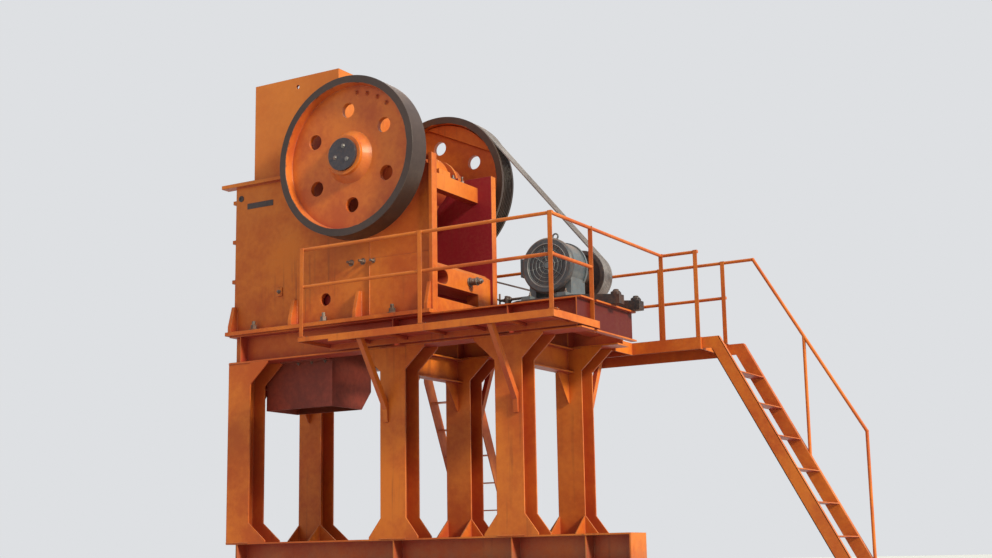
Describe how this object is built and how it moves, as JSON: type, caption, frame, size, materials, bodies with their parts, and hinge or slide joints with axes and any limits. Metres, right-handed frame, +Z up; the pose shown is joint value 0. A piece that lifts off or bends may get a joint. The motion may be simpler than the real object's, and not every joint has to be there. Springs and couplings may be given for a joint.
{
  "type": "jaw crusher on a steel stand",
  "caption": "Single-toggle jaw crusher with flywheels, belt drive and motor on a steel stand with platforms, a stair and a ladder.",
  "frame": {"origin": "centre of the plan, on the ground", "axes": "+X from the feed end to the motor and stair end, +Y from the flywheel side without belts to the belt side, +Z up"},
  "size_m": [6.212, 3.4774, 5.225],
  "materials": {
    "frame_paint": "satin orange enamel, weathered",
    "wear_steel": "worn manganese steel",
    "bare_steel": "dull steel",
    "wheel_paint": "satin black enamel",
    "motor_paint": "satin blue-grey enamel",
    "belt_rubber": "matt"
  },
  "bodies": {
    "frame": {"side_plate_near": "frame_paint", "side_plate_far": "frame_paint", "front_wall": "frame_paint", "rear_top_beam": "frame_paint", "rear_toggle_beam": "frame_paint", "feed_guard": "frame_paint", "fixed_jaw_plate": "wear_steel", "swing_jaw_plate": "wear_steel", "swing_jaw": "frame_paint", "toggle_plate": "frame_paint", "tension_rod": "bare_steel", "cheek_plates": "wear_steel", "bearing_housings": "frame_paint", "drive_belts": "belt_rubber", "motor_body": "motor_paint", "motor_fan_cover": "motor_paint", "motor_terminal_box": "motor_paint", "motor_rails": "bare_steel", "base_beams": "frame_paint", "base_cross_beams": "frame_paint", "columns_near": "frame_paint", "columns_far": "frame_paint", "main_beam_near": "frame_paint", "main_beam_far": "frame_paint", "top_ties": "frame_paint", "motor_deck": "frame_paint", "platform_near": "frame_paint", "platform_far": "frame_paint", "walkway": "frame_paint", "knee_braces": "frame_paint", "railing_near": "frame_paint", "railing_end": "frame_paint", "railing_far": "frame_paint", "walkway_railing": "frame_paint", "stair_stringers": "frame_paint", "stair_treads": "frame_paint", "stair_handrail": "frame_paint", "ladder": "frame_paint", "discharge_chute": "frame_paint"},
    "crank": {"eccentric_shaft": "bare_steel", "flywheel_near": "wheel_paint", "flywheel_far": "wheel_paint", "balance_weights": "frame_paint", "shaft_end_covers": "bare_steel"},
    "motor_rotor": {"motor_pulley": "wheel_paint"}
  },
  "joints": [
    {"name": "crank_spin", "type": "hinge", "parent": "frame", "child": "crank", "pos_m": [-1.191, -0.54866, 4.121], "axis": [0, 1, 0], "continuous": true},
    {"name": "motor_spin", "type": "hinge", "parent": "frame", "child": "motor_rotor", "pos_m": [0.544, -0.54866, 2.95], "axis": [0, 1, 0], "continuous": true}
  ],
  "couplings": [
    {"joint": "motor_spin", "follows": "crank_spin", "ratio": 3.168}
  ]
}
